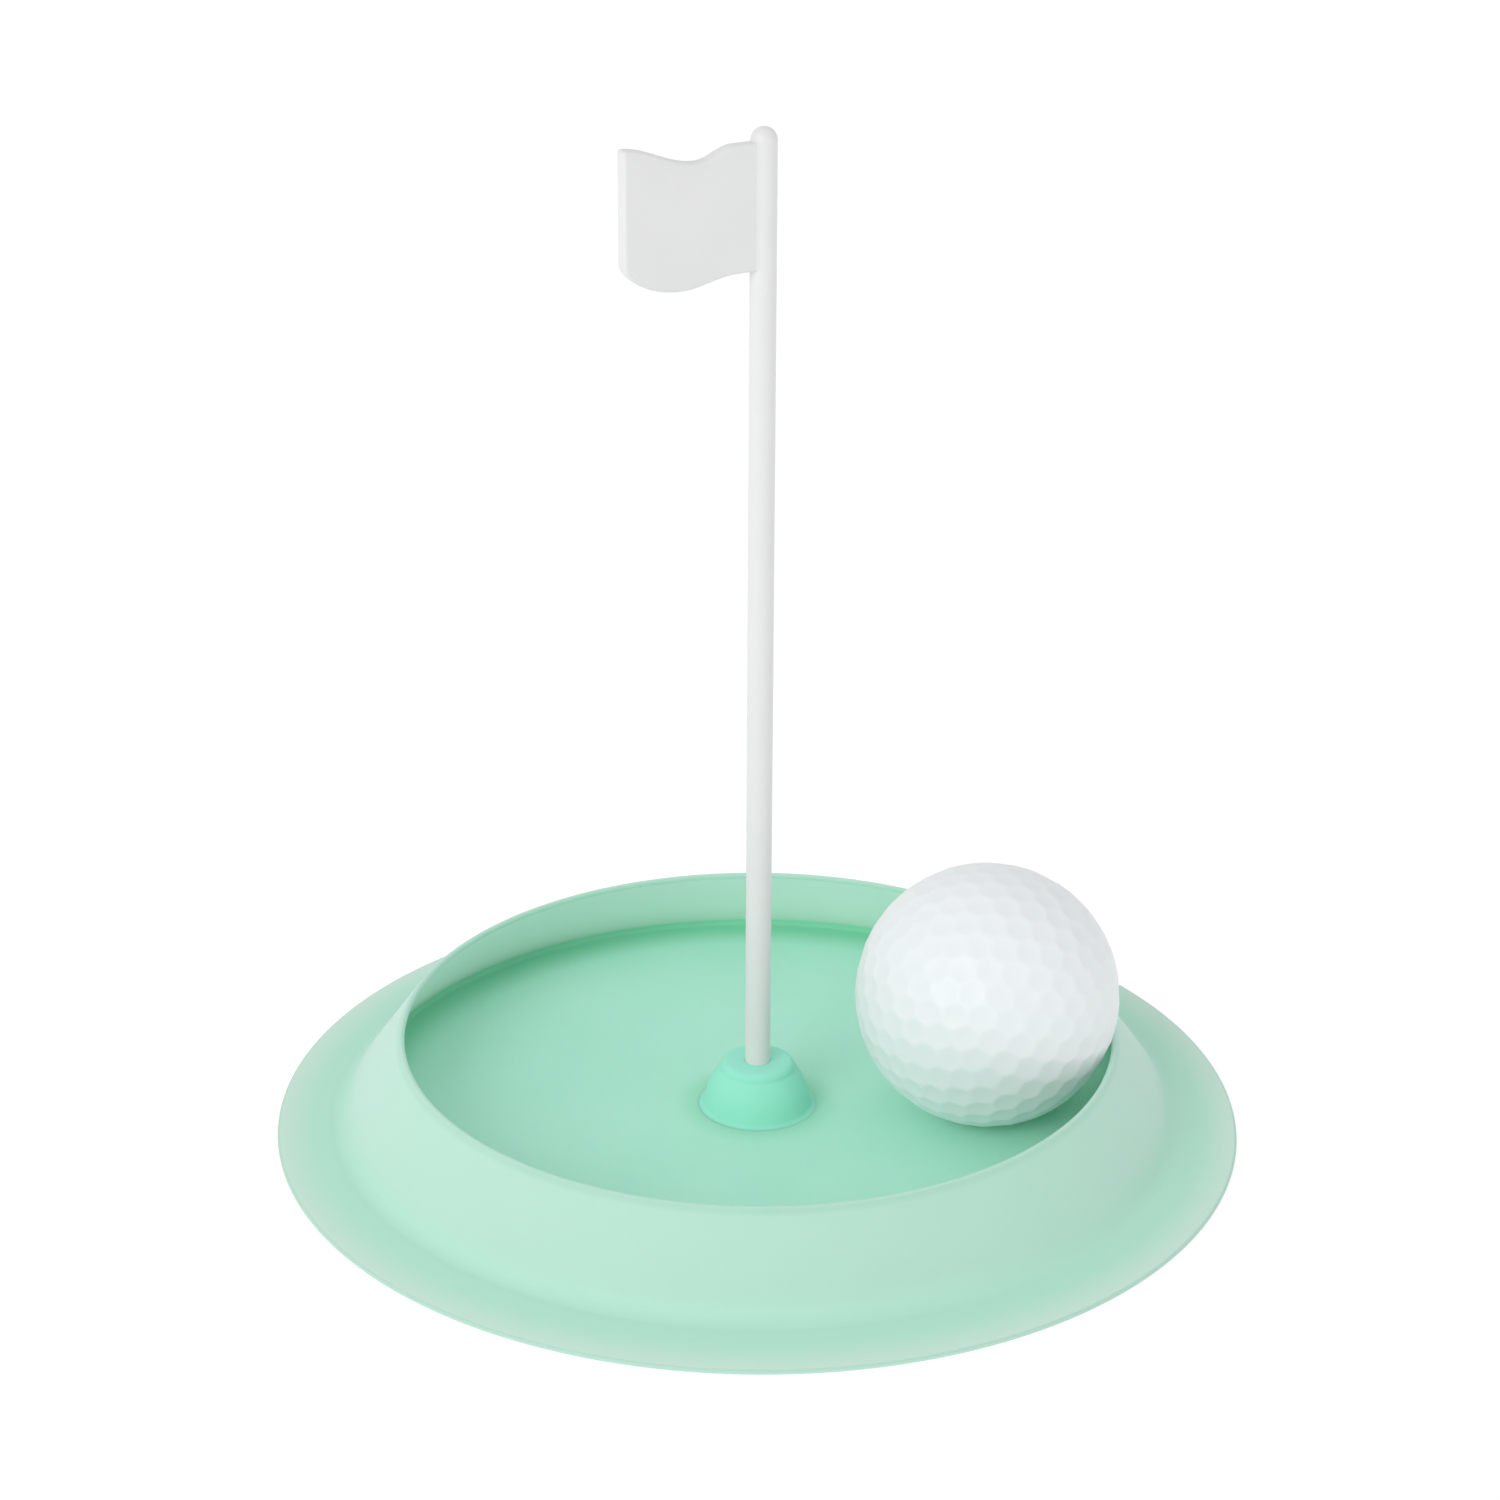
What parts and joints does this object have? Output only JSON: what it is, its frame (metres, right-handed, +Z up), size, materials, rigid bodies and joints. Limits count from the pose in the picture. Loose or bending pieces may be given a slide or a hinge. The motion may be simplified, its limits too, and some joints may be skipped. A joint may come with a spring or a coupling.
{
  "type": "round practice putting mat",
  "caption": "Round soft putting mat with a sloping apron, an inward-leaning lip that keeps the ball, a centre socket with a lift-out flagstick, and a golf ball.",
  "frame": {"origin": "centre of the mat's flat underside", "axes": "+Z up along the flagpole; -Y is the front, the side the object is looked at from; +X is towards the side where the ball rests"},
  "size_m": [0.1568, 0.1568, 0.1644],
  "materials": {
    "mat_rubber": "matte mint-green soft moulding with a very fine grain",
    "socket_rubber": "satin, brighter mint green than the mat",
    "white_plastic": "smooth satin white",
    "core_rubber": "matte, unseen inside the cover",
    "ball_cover": "glossy white painted cover with dimples"
  },
  "bodies": {
    "base": {"base_mat": "mat_rubber", "cup_lip": "mat_rubber"},
    "socket": {"flag_socket": "socket_rubber"},
    "flagstick": {"flagpole": "white_plastic", "flag": "white_plastic"},
    "ball_core": {"ball_core": "core_rubber"},
    "ball_cover": {"ball_cover_upper": "ball_cover", "ball_cover_lower": "ball_cover"}
  },
  "joints": [
    {"name": "flag_turn", "type": "hinge", "parent": "base", "child": "socket", "pos_m": [0, 0, 0.0015], "axis": [0, 0, 1], "continuous": true},
    {"name": "flagstick_lift", "type": "slide", "parent": "socket", "child": "flagstick", "axis": [0, 0, 1], "range_m": [0, 0.05]},
    {"name": "ball_orbit", "type": "hinge", "parent": "base", "child": "ball_core", "pos_m": [0, 0, 0.02269], "axis": [0, 0, 1], "continuous": true},
    {"name": "ball_roll", "type": "hinge", "parent": "ball_core", "child": "ball_cover", "pos_m": [0.03707, -0.00146, 0.02269], "axis": [0.9992, -0.0394, 0], "continuous": true}
  ],
  "couplings": [
    {"joint": "ball_roll", "follows": "ball_orbit", "ratio": -1.7389}
  ]
}
